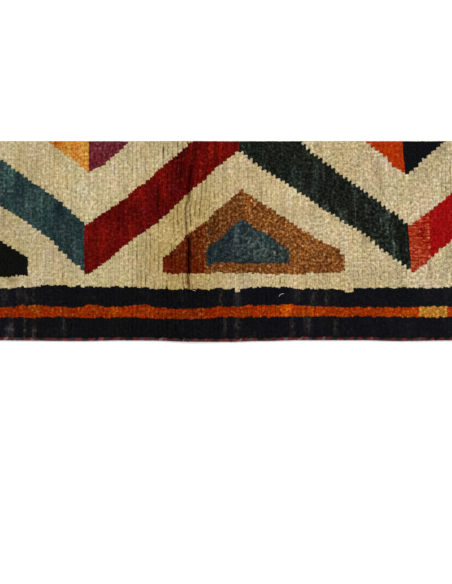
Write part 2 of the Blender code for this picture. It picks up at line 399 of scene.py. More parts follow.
# Where a dye took differently, by piece. Columns: the spot's middle as row and knot, its reach in
# rows and knots, then how far it goes to the yarn's light (up to 1) or deep (down to -1).
SPOTS = {
    "coral_start": (
        (97.5, 26, 1.2, 6, 0.15), (100.4, 37, 0.8, 5, -0.8), (101.5, 33, 0.3, 9, 0.45),
    ),
    "green_band": (
        (88.2, 46, 0.3, 3, 0.45), (88.7, 42, 0.35, 3, 0.25), (92.2, 38, 0.3, 5, 0.35),
        (92.9, 31, 0.3, 5, 0.35), (91.4, 34, 0.3, 4, 0.15), (63, 63, 7, 7, -0.08),
        (95.6, 30, 1.3, 9, -0.4), (91, 37, 4, 8, 0.05), (74, 54, 4, 6, -0.08),
    ),
    "teal_band": ((3, 53, 4, 9, 0.35), (10, 45, 5, 6, 0.15), (20, 31, 3, 6, 0.1)),
    "slate_heart": (
        (60.5, 31, 4, 5, 0.4), (57.8, 38, 2, 3, 0.25), (65, 28, 2.5, 2.5, 0.3),
        (53, 28, 3, 4, -0.12),
    ),
    "camel_triangle": (
        (76, 29, 9, 9, 0.3), (66.5, 39, 4, 4, 0.4), (60.3, 43, 1.1, 5, 0.6), (61, 22, 14, 2, 0.1),
        (51.5, 36.5, 2.2, 7, -0.6), (59.8, 45.5, 1.2, 3, 0.25),
    ),
    "brick_corner": ((49.5, 27.5, 0.3, 6, 1.0),),
    "orange_stripe": (
        (9.5, 10, 2.5, 2, 0.3), (14.8, 9, 0.6, 3, 0.3), (22, 9, 2.5, 3, 0.2),
        (28.5, 9, 1.2, 3, 0.3), (48.3, 9, 0.5, 3, 0.4), (68.3, 9, 1.2, 3, 0.7),
    ),
    "yellow_point": ((14.5, 65, 3, 3, -0.7),),
    "navy_point": ((101, 61, 6, 8, -0.2),),
    "madder_band": (
        (25.3, 33, 2.2, 6, 0.3), (30.3, 39, 1.7, 6, -0.65), (33.2, 39, 1.2, 5, -0.1),
        (34.8, 48, 0.9, 7, 0.5), (37.8, 46, 1.2, 6, -0.5), (40.5, 51, 0.8, 6, 0.3),
        (43.9, 56, 0.8, 8, -0.5), (46.3, 57, 0.6, 8, -0.4), (48.2, 58, 0.5, 8, 0.6),
        (50.4, 60, 0.8, 7, 0.6), (51.9, 62, 0.6, 5, -0.5), (54.5, 62, 3, 5, 0.4),
    ),
    "outer_navy_stripe": (
        (4.2, 1.2, 0.9, 2, 0.9), (4.5, 4, 0.6, 3, 0.4), (8.0, 2.5, 0.4, 4, 0.6),
        (10.2, 1.2, 0.4, 2.5, 0.6), (17, 3, 0.5, 3, 0.3), (54.2, 4, 0.5, 4, 0.45),
        (57.2, 3, 0.6, 5, 0.45), (69.5, 3, 0.5, 4, 0.35), (73.2, 4, 0.8, 4, 0.35),
        (79.5, 3, 0.5, 3, 0.35),
    ),
    "inner_navy_stripe": (
        (8, 14, 8, 4, 0.03), (3.0, 14, 0.8, 3, 0.2), (6.3, 14, 0.5, 2.5, 0.5),
        (8.4, 13, 0.4, 4, 0.35), (10.2, 14, 0.5, 3, 0.45), (53.4, 13, 0.5, 4, 0.35),
        (57.3, 13, 0.6, 4, 0.4), (70.5, 14, 0.7, 2, 0.35), (74.5, 13, 0.6, 4, 0.35),
        (77.5, 13, 0.5, 4, 0.3),
    ),
    "ivory_left": ((22, 50, 7, 8, 0.25), (4.4, 19.5, 1.5, 1.5, -0.6), (4.5, 37, 3, 4, -0.25)),
    "ivory_middle": ((69, 49, 3, 5, 0.35), (42.5, 38, 2.5, 6, -0.19)),
    "ivory_right": ((97.3, 48, 0.5, 9, 0.6), (85.8, 32, 0.8, 2, -0.4), (103, 55, 3, 4, -0.15)),
}
# The ivory went yellower round the old fold. Row and reach in rows, where it starts to fade
# and has faded in knots, and how much of each colour is left.
YELLOWED_ROW, YELLOWED_REACH = 43, 11
YELLOWED_FADES, YELLOWED_ENDS = 46, 58
YELLOWED = (0.86, 0.78, 0.54)
# How three dyes drift from left to right. Columns: row, share of the red, green and blue.
DRIFT = {
    "ivory": (
        (0, 0.87, 0.88, 0.9), (14, 0.92, 0.93, 0.95), (22, 0.98, 1.01, 1.04), (36, 1.0, 1.0, 1.04),
        (46, 0.96, 0.95, 0.93), (60, 1.03, 1.01, 1.03), (80, 1.0, 0.98, 1.0), (93, 1.07, 1.09, 1.2),
        (104, 1.06, 1.07, 1.19), (109, 1.02, 1.01, 1.08),
    ),
    "navy": (
        (0, 1.0, 1.08, 1.15), (12, 1.05, 1.05, 0.97), (40, 0.93, 0.94, 0.86),
        (60, 1.05, 1.05, 1.05), (80, 1.08, 1.12, 1.17), (109, 1.28, 1.33, 1.4),
    ),
    "orange": (
        (0, 0.69, 0.82, 0.96), (30, 0.87, 0.96, 1.3), (37, 0.92, 1.05, 1.5), (41, 0.7, 0.74, 1.4),
        (52, 0.75, 0.75, 1.1), (58, 0.97, 1.1, 1.2), (69, 1.1, 1.3, 1.5), (75, 0.98, 1.1, 1.4),
        (92, 1.0, 1.1, 1.4), (97, 1.25, 1.6, 1.6), (109, 1.2, 1.6, 1.6),
    ),
}


class Finish:
    """A material under construction. add() makes a node; what it gives back works in sums."""

    def __init__(self, name):
        self.material = bpy.data.materials.new(name)
        self.material.use_nodes = True
        self.tree = self.material.node_tree
        self.shader = self.tree.nodes["Principled BSDF"]

    def add(self, kind, settings=None, inputs=None, output=0):
        node = self.tree.nodes.new(kind)
        for name, value in (settings or {}).items():
            setattr(node, name, value)
        for name, value in (inputs or {}).items():
            self.feed(node.inputs[name], value)
        return Value(self, node.outputs[output])

    def feed(self, socket, value):
        if isinstance(value, Value):
            self.tree.links.new(value.socket, socket)
        else:
            socket.default_value = value

    def set(self, **values):
        """Sets the shader's own sockets, named with underscores for spaces."""
        for name, value in values.items():
            self.feed(self.shader.inputs[name.replace("_", " ")], value)

    def place(self, stretch=(1, 1, 1)):
        """Where a point is on the object, in metres, stretched along each axis."""
        here = self.add("ShaderNodeTexCoord", output="Object")
        return self.add("ShaderNodeVectorMath", {"operation": "MULTIPLY"}, {0: here, 1: stretch})

    def noise(self, place, size, detail=2.0, roughness=0.5):
        """Smooth noise about 0, whose spots are about this size."""
        inputs = {"Vector": place, "Scale": 1 / size, "Detail": detail, "Roughness": roughness}
        return self.add("ShaderNodeTexNoise", inputs=inputs) - 0.5

    def kept(self, name, output="Vector"):
        """What the mesh keeps under this name for each of its points."""
        return self.add("ShaderNodeAttribute", {"attribute_name": name}, output=output)

    def scaled(self, colour, factor):
        settings = {"operation": "SCALE"}
        return self.add("ShaderNodeVectorMath", settings, {0: colour, "Scale": factor})

    def mixed(self, share, first, second):
        settings = {"data_type": "RGBA"}
        return self.add("ShaderNodeMix", settings, {0: share, 6: first, 7: second}, output=2)

    def step(self, value, start, end):
        """0 below start, 1 above end, smooth between them."""
        inputs = {"Value": value, "From Min": start, "From Max": end}
        return self.add("ShaderNodeMapRange", {"interpolation_type": "SMOOTHSTEP"}, inputs)

    def bump(self, height, strength, distance):
        inputs = {"Height": height, "Strength": strength, "Distance": distance}
        self.set(Normal=self.add("ShaderNodeBump", inputs=inputs))


class Value:
    """A node's output that can be used in sums: each sum adds its Math node."""

    def __init__(self, finish, socket):
        self.finish, self.socket = finish, socket

    def sum(self, operation, first, second):
        inputs = {0: first, 1: second}
        return self.finish.add("ShaderNodeMath", {"operation": operation}, inputs)

    def __add__(self, other):
        return self.sum("ADD", self, other)

    def __radd__(self, other):
        return self.sum("ADD", other, self)

    def __sub__(self, other):
        return self.sum("SUBTRACT", self, other)

    def __rsub__(self, other):
        return self.sum("SUBTRACT", other, self)

    def __mul__(self, other):
        return self.sum("MULTIPLY", self, other)

    def __rmul__(self, other):
        return self.sum("MULTIPLY", other, self)

    def __rpow__(self, other):
        return self.sum("POWER", other, self)


# Finishes

# Fibres run up the pile, so the noise on them is drawn out along Z. On the clipped tips the
# mixture is even, or drawn out across the rows where the wool is mixed level.
UP_THE_PILE = (1, 1, 0.22)
EVEN_TIPS = (0.85, 0.85, 0.3)
LEVEL_TIPS = (0.4, 1.1, 0.3)
# How big the spots of fleck, the clumps of one shade, the strands and the fibres are.
FLECK = 1.6 * MM
CLUMP = 2.6 * MM
STRAND = 0.62 * MM
FIBRE = 0.24 * MM
# The height of the noise at which a fleck starts and is full, and how many times the wool's
# share of flecks it then shows.
FLECK_STARTS, FLECK_FULL = 0.09, 0.2
FLECK_SHOWS = 3
HEATHER_CONTRAST = 3.4
# How much the grain varies: the dye keeps its mean brightness by it.
GRAIN_SPREAD = 0.11
# Wool whose weakest colour is under SHINES_FROM has hardly any shine.
SHINES_FROM = 0.1
SHINE, LEAST_SHINE = 0.1, 0.01


def pile_wool(name, wool):
    """Dyed wool pile: heathered fibres that run up the tuft, and a few of another colour."""
    finish = Finish(name)
    tips = finish.place(LEVEL_TIPS if wool.level else EVEN_TIPS)
    up = finish.place(UP_THE_PILE)
    clumps = finish.noise(tips, CLUMP, detail=3, roughness=0.65)
    strands = finish.noise(up, STRAND, roughness=0.6)
    fibres = finish.noise(up, FIBRE, detail=1)
    grain = clumps + 0.4 * strands + 0.35 * fibres
    contrast = math.exp(HEATHER_CONTRAST * wool.heather)
    settle = HEATHER_CONTRAST * wool.heather * GRAIN_SPREAD ** 2 / 2
    # Weak colours vary most with the grain: partly pale fibres, partly painted sheen.
    lifted = {i: contrast ** (grain * c - settle * c * c) for i, c in enumerate(wool.spread)}
    tint = finish.add("ShaderNodeCombineXYZ", inputs=lifted)
    settings = {"operation": "MULTIPLY"}
    colour = finish.add("ShaderNodeVectorMath", settings, {0: finish.kept("dyed"), 1: tint})
    if wool.flecks:
        spots = finish.noise(tips, FLECK, detail=3, roughness=0.65)
        odd = finish.step(spots, FLECK_STARTS, FLECK_FULL)
        colour = finish.mixed(odd * wool.flecks * FLECK_SHOWS, colour, (*wool.fleck, 1))
    finish.set(
        Base_Color=colour,
        Roughness=0.86 + 0.25 * strands,
        Specular_IOR_Level=SHINE if wool.mid.min() > SHINES_FROM else LEAST_SHINE,
    )
    finish.bump(strands + 0.8 * fibres, strength=0.4, distance=0.45 * MM)
    return finish.material


PLY_TURN = 1.5 * MM
YARN_FUZZ = 0.25 * MM
YARN_CLUMP = 1.4 * MM


def plied_yarn(name):
    """Two-ply yarn. The mesh keeps, as yarn, how far along it and how far round it a point is."""
    finish = Finish(name)
    run = finish.add("ShaderNodeSeparateXYZ", inputs={0: finish.kept("yarn")}, output=0)
    turn = finish.add("ShaderNodeSeparateXYZ", inputs={0: finish.kept("yarn")}, output=1)
    phase = run * (math.tau / PLY_TURN) + turn * math.tau
    plies = finish.add("ShaderNodeMath", {"operation": "SINE"}, {0: phase})
    fuzz = finish.noise(finish.place(), YARN_FUZZ)
    clumps = finish.noise(finish.place(), YARN_CLUMP)
    # The grooves between the plies are painted darker, as shade; fuzz and clumps differ at random.
    tone = 1 + (0.12 * plies + 0.5 * fuzz + 0.35 * clumps)
    finish.set(
        Base_Color=finish.scaled(finish.kept("dyed"), tone),
        Roughness=0.84 + 0.2 * fuzz,
        Specular_IOR_Level=0.15,
        Sheen_Weight=0.05,
    )
    finish.bump(0.6 * plies + fuzz, strength=0.6, distance=0.3 * MM)
    return finish.material


BACK_FUZZ = 0.3 * MM
BACK_CLUMP = 2.2 * MM


def knot_backs(name):
    """The underside: each knot shows as two small nodes, with the weft sunk between rows."""
    finish = Finish(name)
    here = finish.place()
    y = finish.add("ShaderNodeSeparateXYZ", inputs={0: here}, output=1)
    phase = y * (math.tau / (KNOT_PITCH / 2))
    nodes = finish.add("ShaderNodeMath", {"operation": "COSINE"}, {0: phase})
    fuzz = finish.noise(here, BACK_FUZZ)
    clumps = finish.noise(here, BACK_CLUMP)
    # Painted shade: darker between the nodes, where the bump dips; fuzz and clumps differ at
    # random.
    tone = 0.9 + 0.1 * nodes + 0.5 * fuzz + 0.4 * clumps
    finish.set(
        Base_Color=finish.scaled(finish.kept("dyed"), tone),
        Roughness=0.88 + 0.15 * fuzz,
        Specular_IOR_Level=0.15,
    )
    finish.bump(nodes + 0.5 * fuzz, strength=0.5, distance=0.35 * MM)
    return finish.material


# Meshes

def make_piece(name, points, faces, material, smooth=True):
    """A mesh object from an array of points and a list of arrays of faces."""
    mesh = bpy.data.meshes.new(name)
    mesh.vertices.add(len(points))
    mesh.vertices.foreach_set("co", np.asarray(points, np.float32).ravel())
    corners = np.concatenate([group.ravel() for group in faces])
    counts = np.concatenate([np.full(len(group), group.shape[1]) for group in faces])
    mesh.loops.add(len(corners))
    mesh.loops.foreach_set("vertex_index", corners.astype(np.int32))
    mesh.polygons.add(len(counts))
    starts = np.concatenate([[0], np.cumsum(counts)[:-1]])
    mesh.polygons.foreach_set("loop_start", starts.astype(np.int32))
    mesh.polygons.foreach_set("use_smooth", np.full(len(counts), smooth))
    mesh.update(calc_edges=True)
    mesh.materials.append(material)
    piece = bpy.data.objects.new(name, mesh)
    bpy.context.scene.collection.objects.link(piece)
    return piece


def keep(piece, name, values, domain="POINT"):
    """Keeps a vector under this name for each point, or each face, of a piece."""
    attribute = piece.data.attributes.new(name, "FLOAT_VECTOR", domain)
    attribute.data.foreach_set("vector", np.asarray(values, np.float32).ravel())


def tube_faces(rings, sides, count=1, closed=False):
    """Quads that skin tubes whose points are numbered side by side, then ring by ring."""
    step = np.arange(rings if closed else rings - 1)
    ring, side = (a.ravel() for a in np.meshgrid(step, np.arange(sides), indexing="ij"))
    above, beside = (ring + 1) % rings, (side + 1) % sides
    quads = np.stack([
        ring * sides + side, ring * sides + beside, above * sides + beside, above * sides + side,
    ], 1)
    return (quads[None] + (np.arange(count) * rings * sides)[:, None, None]).reshape(-1, 4)


# The pile

END_SIDES = 8
# One cut end of yarn, from its root up. Columns: share of the height, share of the width, and
# share of the way out over its own patch of the flat map.
END_RINGS = ((0.0, 0.88, 0.96), (0.90, 1.0, 0.66), (0.972, 0.66, 0.36))
# Half its size along X and along Y, and how square it is: 2 would be an ellipse.
END_HALF_LONG = 1.74 * MM
END_HALF_WIDE = 2.45 * MM
SQUARENESS = 2.8
ROOT_DEPTH = 0.3 * MM
# The wool's tone at the root, and how much it gains up to the tip: painted shade deep in the
# pile, and tips a little faded.
ROOT_TONE = 0.72
TONE_GAINED = 0.33
# How much the ends differ: in place, lean, height, size as a share, and turn.
PLACE_DIFFERS = 0.18 * MM
LEAN_DIFFERS = 0.16 * MM
HEIGHT_DIFFERS = 0.13 * MM
SIZE_DIFFERS = 0.06
TURN_DIFFERS = 0.12
# How uneven an end's outline is: where its corners lie, how far out, also ring by ring, and how
# high each of them is cut.
CORNER_TURN_DIFFERS = 0.09
CORNER_DIFFERS = 0.08
RING_DIFFERS = 0.04
CORNER_HEIGHT_DIFFERS = 0.09 * MM
# Along the cut sides the ends stop up to this much short of the cut.
CUT_UNEVEN = 0.35 * MM
# How far, in knots, a row's knots slip past their neighbours', over how many rows and knots that
# changes, and how far a whole row slips.
ROW_SLIP, ROW_SLIP_OVER = 0.3, (1, 15)
WHOLE_ROW_SLIP = 0.06
# How the pile leans, in mm: on average, how much that changes, and over how many rows and knots.
LEAN_X, LEAN_X_CHANGES, LEAN_X_OVER = 0.25, 0.45, (7, 7)
LEAN_Y, LEAN_Y_CHANGES, LEAN_Y_OVER = -0.1, 0.35, (5, 9)
# How far the outermost knots lean back from the side cord: the same, then the least and the
# most, and within how many knots of the edge it fades.
EDGE_LEAN, EDGE_LEAN_CHANGES, EDGE_LEAN_OVER = 0.7, 1.2, (0.8, 9)
EDGE_LEAN_LIMITS = -0.4, 2.4
EDGE_LEAN_KNOTS = 1.5
# How far a gaping furrow pushes the ends beside it aside, how much it narrows them, and how much
# shade is painted on them on its side: by its width, at least and at most.
FURROW_PUSH = 0.05 * MM
FURROW_NARROWS = 0.05
FURROW_SHADE = 0.5
FURROW_LEAST_SHADE = 0.12
FURROW_MOST_SHADE = 0.8
# How much of each colour the painted shade takes, beside furrows and beside the old fold.
SHADE_TINT = np.array((0.9, 1.0, 1.15))
# How a dye varies. Columns: how strongly, over how many rows and how many knots.
STREAKS = ((0.9, 1.3, 7), (0.6, 0.6, 9), (0.5, 6, 7))
# Over how many rows and knots its red and its blue stray.
HUE_STRAYS = (2.2, 3.5)
# How much single ends differ in tone, and how much of a spot an end takes: on average, and how
# much more or less with its own tone.
SINGLE_DIFFERS = 0.5
SPOT_TAKEN, SPOT_TAKEN_CHANGES = 0.9, 0.9


def spot_tone(piece_names, piece, row, knot):
    """How far the spots take each end towards its yarn's light or deep."""
    tone = np.zeros(len(row))
    for name, spots in SPOTS.items():
        here = piece == piece_names.index(name)
        for at_row, at_knot, rows_out, knots_out, amount in spots:
            out = ((row - at_row) / rows_out) ** 2 + ((knot - at_knot) / knots_out) ** 2
            tone += amount * np.exp(-out) * here
    return tone


def dye_ends(pieces, ends, chance):
    """The colour of every cut end, with painted shade on those beside the old fold."""
    names = [name for name, _ in pieces]
    across = ends.row + ends.end / ENDS
    spots = spot_tone(names, ends.piece, across, ends.knot)
    single = chance.normal(0, SINGLE_DIFFERS, len(ends.row))
    streak = 0
    for strength, *size in STREAKS:
        streak = streak + strength * Mottle(chance, *size).at(across, ends.knot)
    redder, bluer = (Mottle(chance, *HUE_STRAYS).at(across, ends.knot) for _ in range(2))
    faded = np.clip((YELLOWED_ENDS - ends.knot) / (YELLOWED_ENDS - YELLOWED_FADES), 0, 1)
    yellowed = np.exp(-(((ends.row - YELLOWED_ROW) / YELLOWED_REACH) ** 2)) * faded
    colour = np.zeros((len(ends.row), 3))
    for number, (_, yarn_name) in enumerate(pieces):
        wool, here = YARNS[yarn_name], ends.piece == number
        tone = wool.streak * streak[here] + wool.speckle * single[here]
        tone += spots[here] * np.clip(SPOT_TAKEN + SPOT_TAKEN_CHANGES * single[here], 0, 2)
        up, down = np.clip(tone, 0, 1)[:, None], np.clip(-tone, 0, 1)[:, None]
        dyed = wool.mid * (1 - up - down) + wool.light * up + wool.deep * down
        strays = np.stack([wool.wander[0] * redder, 0 * redder, wool.wander[1] * bluer], 1)[here]
        dyed = dyed * np.exp(strays)
        if yarn_name.endswith("ivory"):
            dyed = dyed * (1 - yellowed[here][:, None] * (1 - np.array(YELLOWED)))
        drift = DRIFT.get(yarn_name.removeprefix("coarse_"))
        if drift:
            dyed = dyed * np.stack([eased(drift, ends.row[here], c) for c in (1, 2, 3)], 1)
        colour[here] = dyed
    # Painted shade: the ends beside the old fold are darkened, their middle a little right of it.
    aside = across + 0.5 / ENDS - CREASE_ROW - CREASE_SHADE_ASIDE
    dark = eased(CREASE_OPENING, ends.y / MM, 3) * np.exp(-((aside / CREASE_SHADE_REACH) ** 2))
    return colour * (1 - dark[:, None] * SHADE_TINT)


def gape(boundary, knot, chance):
    """How far the furrow before a row gapes beside each knot: 0 where the rows close up."""
    x = boundary * ROW_PITCH - LENGTH / 2
    open_rows = (eased(FURROW_DEPTH, x / MM) - FURROW_LEAST) / (FURROW_MOST - FURROW_LEAST)
    amount = open_rows * (GAPE_MEAN + GAPE_CHANGES * Mottle(chance, *GAPE_OVER).at(boundary, knot))
    for at_row, first, last, how_far in WIDE_FURROWS:
        within = np.clip(np.minimum(knot - first, last - knot) / 2, 0, 1)
        amount = amount + how_far * within * (boundary == at_row)
    y = weave_place(boundary, knot + 0.5)[1]
    return np.where(boundary == CREASE_ROW, eased(CREASE_OPENING, y / MM, 2), np.clip(amount, 0, 2))


def lay_out_ends(chart, drawn, chance):
    """Where every cut end stands, how it leans and how high it is clipped."""
    grid = np.meshgrid(np.arange(ROWS), np.arange(KNOTS), np.arange(ENDS), indexing="ij")
    row, knot, end = (a.ravel() for a in grid)
    count = len(row)
    outward = 2 * end - 1
    opening = gape(row + end, knot, chance)
    across = row + 0.5 + outward * END_APART / 2
    slip = ROW_SLIP * Mottle(chance, *ROW_SLIP_OVER).at(row, knot) + drawn[row, knot, end]
    slip = slip + chance.normal(0, WHOLE_ROW_SLIP, ROWS)[row]
    x, y = weave_place(across, knot + 0.5 + slip)
    x = x + chance.normal(0, PLACE_DIFFERS, count) - outward * FURROW_PUSH * opening
    y = y + chance.normal(0, PLACE_DIFFERS, count)
    lean_field, sway_field = Mottle(chance, *LEAN_X_OVER), Mottle(chance, *LEAN_Y_OVER)
    lean_x = (LEAN_X + LEAN_X_CHANGES * lean_field.at(row, knot)) * MM
    lean_x = lean_x + chance.normal(0, LEAN_DIFFERS, count)
    lean_y = (LEAN_Y + LEAN_Y_CHANGES * sway_field.at(row, knot)) * MM
    lean_y = lean_y + chance.normal(0, LEAN_DIFFERS, count)
    edge_lean = EDGE_LEAN + EDGE_LEAN_CHANGES * Mottle(chance, *EDGE_LEAN_OVER).at(row, knot)
    edge_lean = np.clip(edge_lean, *EDGE_LEAN_LIMITS) * MM
    lean_y = lean_y + edge_lean * np.clip(1 - knot / EDGE_LEAN_KNOTS, 0, 1)
    from_crease = across - CREASE_ROW
    near = np.exp(-np.abs(from_crease) / CREASE_FADES_ROWS)
    lean_x = lean_x * (1 - near) + np.sign(from_crease) * along(CREASE_OPENING, y) * near
    top = clipped_height(x, y) + chance.normal(0, HEIGHT_DIFFERS, count)
    top = top - CREASE_ROUNDING * near ** 2
    narrowed = 1 - FURROW_NARROWS * opening
    return SimpleNamespace(
        row=row, knot=knot, end=end, x=x, y=y, lean_x=lean_x, lean_y=lean_y,
        base=lift(x) + GROUND - ROOT_DEPTH, top=lift(x) + top,
        half_long=END_HALF_LONG * narrowed * chance.normal(1, SIZE_DIFFERS, count),
        half_wide=END_HALF_WIDE * chance.normal(1, SIZE_DIFFERS, count),
        turn=chance.normal(0, TURN_DIFFERS, count), piece=chart[row, knot], outward=outward,
        shade=np.minimum(FURROW_LEAST_SHADE + FURROW_SHADE * opening, FURROW_MOST_SHADE),
    )


def make_pile_piece(name, ends, colour, pick, material, chance):
    """All the cut ends of one piece of the chart, as rounded columns of wool."""
    count, rings = int(pick.sum()), len(END_RINGS)
    e = SimpleNamespace(**{key: values[pick][:, None] for key, values in vars(ends).items()})
    angle = e.turn + np.arange(END_SIDES) * math.tau / END_SIDES
    angle = angle + chance.normal(0, CORNER_TURN_DIFFERS, angle.shape)
    lumpy = chance.normal(1, CORNER_DIFFERS, (count, END_SIDES))
    squared = np.abs(np.cos(angle)) ** SQUARENESS + np.abs(np.sin(angle)) ** SQUARENESS
    lumpy = lumpy * squared ** (-1 / SQUARENESS)
    points = np.empty((count, rings * END_SIDES + 1, 3))
    flat = np.empty((count, rings * END_SIDES + 1, 2))
    cell = np.array((ROW_PITCH / ENDS, KNOT_PITCH)) / 2
    flat_x = (e.row + (e.end + 0.5) / ENDS) * ROW_PITCH
    middle = np.concatenate([flat_x, (e.knot + 0.5) * KNOT_PITCH], 1)
    for ring, (up, width, out) in enumerate(END_RINGS):
        part = slice(ring * END_SIDES, (ring + 1) * END_SIDES)
        wide = width * lumpy * chance.normal(1, RING_DIFFERS, lumpy.shape)
        ragged = chance.normal(0, CORNER_HEIGHT_DIFFERS, lumpy.shape) * (up > 0)
        points[:, part, 0] = e.x + e.lean_x * up + np.cos(angle) * wide * e.half_long
        points[:, part, 1] = e.y + e.lean_y * up + np.sin(angle) * wide * e.half_wide
        points[:, part, 2] = e.base + (e.top - e.base) * up + ragged
        spread = np.stack([np.cos(angle), np.sin(angle)], -1) * out * cell
        flat[:, part] = middle[:, None] + spread
    points[:, -1] = np.concatenate([e.x + e.lean_x, e.y + e.lean_y, e.top], 1)
    short = chance.uniform(0, CUT_UNEVEN, (count, 1))
    points[..., 0] = np.clip(points[..., 0], short - LENGTH / 2, LENGTH / 2 - short)
    points[..., 1] = np.minimum(points[..., 1], WIDTH / 2 - short)
    flat[:, -1] = middle
    per_end = rings * END_SIDES + 1
    first = (np.arange(count) * per_end)[:, None, None]
    sides = tube_faces(rings, END_SIDES)[None] + first
    around = np.arange(END_SIDES)
    last = (rings - 1) * END_SIDES
    fan = np.stack(
        [last + around, last + (around + 1) % END_SIDES, np.full(END_SIDES, per_end - 1)], 1
    )
    caps = fan[None] + first
    roots = around[::-1][None, None] + first
    faces = [sides.reshape(-1, 4), caps.reshape(-1, 3), roots.reshape(-1, END_SIDES)]
    piece = make_piece(name, points.reshape(-1, 3), faces, material)
    ring_share = np.repeat([ring[0] for ring in END_RINGS] + [1.0], [END_SIDES] * rings + [1])
    # Painted shade: darker towards the root and on the side facing a gaping furrow; tips a little
    # faded.
    facing = np.tile(np.clip(np.cos(angle) * e.outward, 0, 1), (1, rings))
    facing = np.append(facing, np.zeros((count, 1)), 1) ** 2
    shadow = (e.shade * facing)[..., None] * SHADE_TINT
    faded_and_shaded = (ROOT_TONE + TONE_GAINED * ring_share)[:, None] * (1 - shadow)
    keep(piece, "dyed", (colour[pick][:, None] * faded_and_shaded).reshape(-1, 3))
    add_flat_map(piece, flat.reshape(-1, 2))
    return piece


def add_flat_map(piece, flat):
    """Lays the piece out flat, each end on its own patch, so that its colours can be kept."""
    low, high = flat.min(0), flat.max(0)
    flat = (flat - low) / (high - low)
    corner = np.empty(len(piece.data.loops), np.int32)
    piece.data.loops.foreach_get("vertex_index", corner)
    layer = piece.data.uv_layers.new(name="OFBake")
    layer.uv.foreach_set("vector", flat[corner].astype(np.float32).ravel())


def make_pile(chance):
    """Every piece of the pile, by the chart, and the colour of every knot."""
    chart, pieces, drawn = draw_chart()
    ends = lay_out_ends(chart, drawn, chance)
    colour = dye_ends(pieces, ends, np.random.default_rng(DYE_SEED))
    finishes, made = {}, []
    for number, (name, yarn_name) in enumerate(pieces):
        if yarn_name not in finishes:
            finishes[yarn_name] = pile_wool(f"{yarn_name}_pile_wool", YARNS[yarn_name])
        pick = ends.piece == number
        piece = make_pile_piece(f"pile_{name}", ends, colour, pick, finishes[yarn_name], chance)
        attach(piece, "root")
        made.append(piece)
    return made, colour.reshape(ROWS, KNOTS, ENDS, 3).mean(2)


# The woven ground

# One row of the underside. Columns: share of the row, how far it is sunk in mm.
BACK_PROFILE = np.array(((0.0, 0.45), (0.14, 0.08), (0.5, 0.0), (0.86, 0.08)))
WEFT_DYE = linear((104, 74, 54))
WARP_DYE = linear((196, 182, 150))
SHADED_WARP_DYE = WARP_DYE * 0.7
# The top of the ground, under the pile: dark brown, darker than the weft, as painted shade.
SHADED_ROOT_DYE = linear((46, 32, 22))
# The tone of the knots' backs, and how much of the weft's own colour shows between rows.
BACK_TONE = 0.9
WEFT_SHOWS = 0.55
GROUND_INSET = 0.3 * MM
CORD_GAP = 0.2 * MM
# The least room that a knot has in the ground, where the knots crowd beside the cord.
CROWDED_KNOT = 0.2 * MM


def ground_start(x):
    """Y of the ground's edge beside the cord."""
    return selvedge(x) + 2 * CORD_RADIUS + CORD_GAP


def make_ground(backs):
    """The woven ground: a closed sheet whose underside shows the backs of the knots, with the
    colour of each row and knot."""
    rows = np.append((np.arange(ROWS)[:, None] + BACK_PROFILE[:, 0]).ravel(), ROWS)
    sunk = np.append(np.tile(BACK_PROFILE[:, 1], ROWS), BACK_PROFILE[0, 1]) * MM
    knots = np.arange(KNOTS + 1)
    row_grid, knot_grid = np.meshgrid(rows, knots, indexing="ij")
    x, y = weave_place(row_grid, knot_grid)
    x = np.clip(x, -LENGTH / 2 + GROUND_INSET, LENGTH / 2 - GROUND_INSET)
    y = np.maximum(y, ground_start(x) + knot_grid * CROWDED_KNOT)
    y = np.minimum(y, WIDTH / 2 - GROUND_INSET)
    z = lift(x) + sunk[:, None]
    under = np.stack([x, y, z], -1)
    over_near = np.stack([x[:, 0], y[:, 0], lift(x[:, 0]) + GROUND], -1)
    over_far = np.stack([x[:, -1], y[:, -1], lift(x[:, -1]) + GROUND], -1)
    points = np.concatenate([under.reshape(-1, 3), over_near, over_far])
    lines, wide = len(rows), len(knots)
    index = np.arange(lines * wide).reshape(lines, wide)
    near = lines * wide + np.arange(lines)
    far = near + lines
    below = np.stack([index[:-1, :-1], index[:-1, 1:], index[1:, 1:], index[1:, :-1]], -1)
    above = np.stack([near[:-1], near[1:], far[1:], far[:-1]], -1)
    front = np.stack([index[:-1, 0], index[1:, 0], near[1:], near[:-1]], -1)
    back = np.stack([index[1:, -1], index[:-1, -1], far[:-1], far[1:]], -1)
    left = np.concatenate([[near[0], far[0]], index[0, ::-1]])[None]
    right = np.concatenate([[far[-1], near[-1]], index[-1]])[None]
    faces = [below.reshape(-1, 4), above, front, back, left, right]
    piece = make_piece("woven_ground", points, faces, knot_backs("knot_backs"))
    strip = np.tile(np.arange(len(BACK_PROFILE)), ROWS)
    of_row = np.repeat(np.arange(ROWS), len(BACK_PROFILE))
    # The backs take the knots' colours, with the painted shade beside the old fold.
    colour = backs[of_row] * BACK_TONE
    weft = (strip == 0) | (strip == len(BACK_PROFILE) - 1)
    colour[weft] = WEFT_SHOWS * WEFT_DYE + (1 - WEFT_SHOWS) * colour[weft]
    # The top, between the ends' roots, is painted dark as in shade.
    roots = np.tile(SHADED_ROOT_DYE, (len(above), 1))
    cut = np.tile(SHADED_WARP_DYE, (len(front) + len(back) + 2, 1))
    keep(piece, "dyed", np.concatenate([colour.reshape(-1, 3), roots, cut]), domain="FACE")
    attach(piece, "root")
    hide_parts("knotted_cloth")
    return piece


# Yarn

def toned(dyes, count, tones, chance):
    """A dye for each of so many yarns. Tones are their mean, spread, least and most."""
    mean, spread, least, most = tones
    return dyes * np.clip(chance.normal(mean, spread, count), least, most)[:, None]


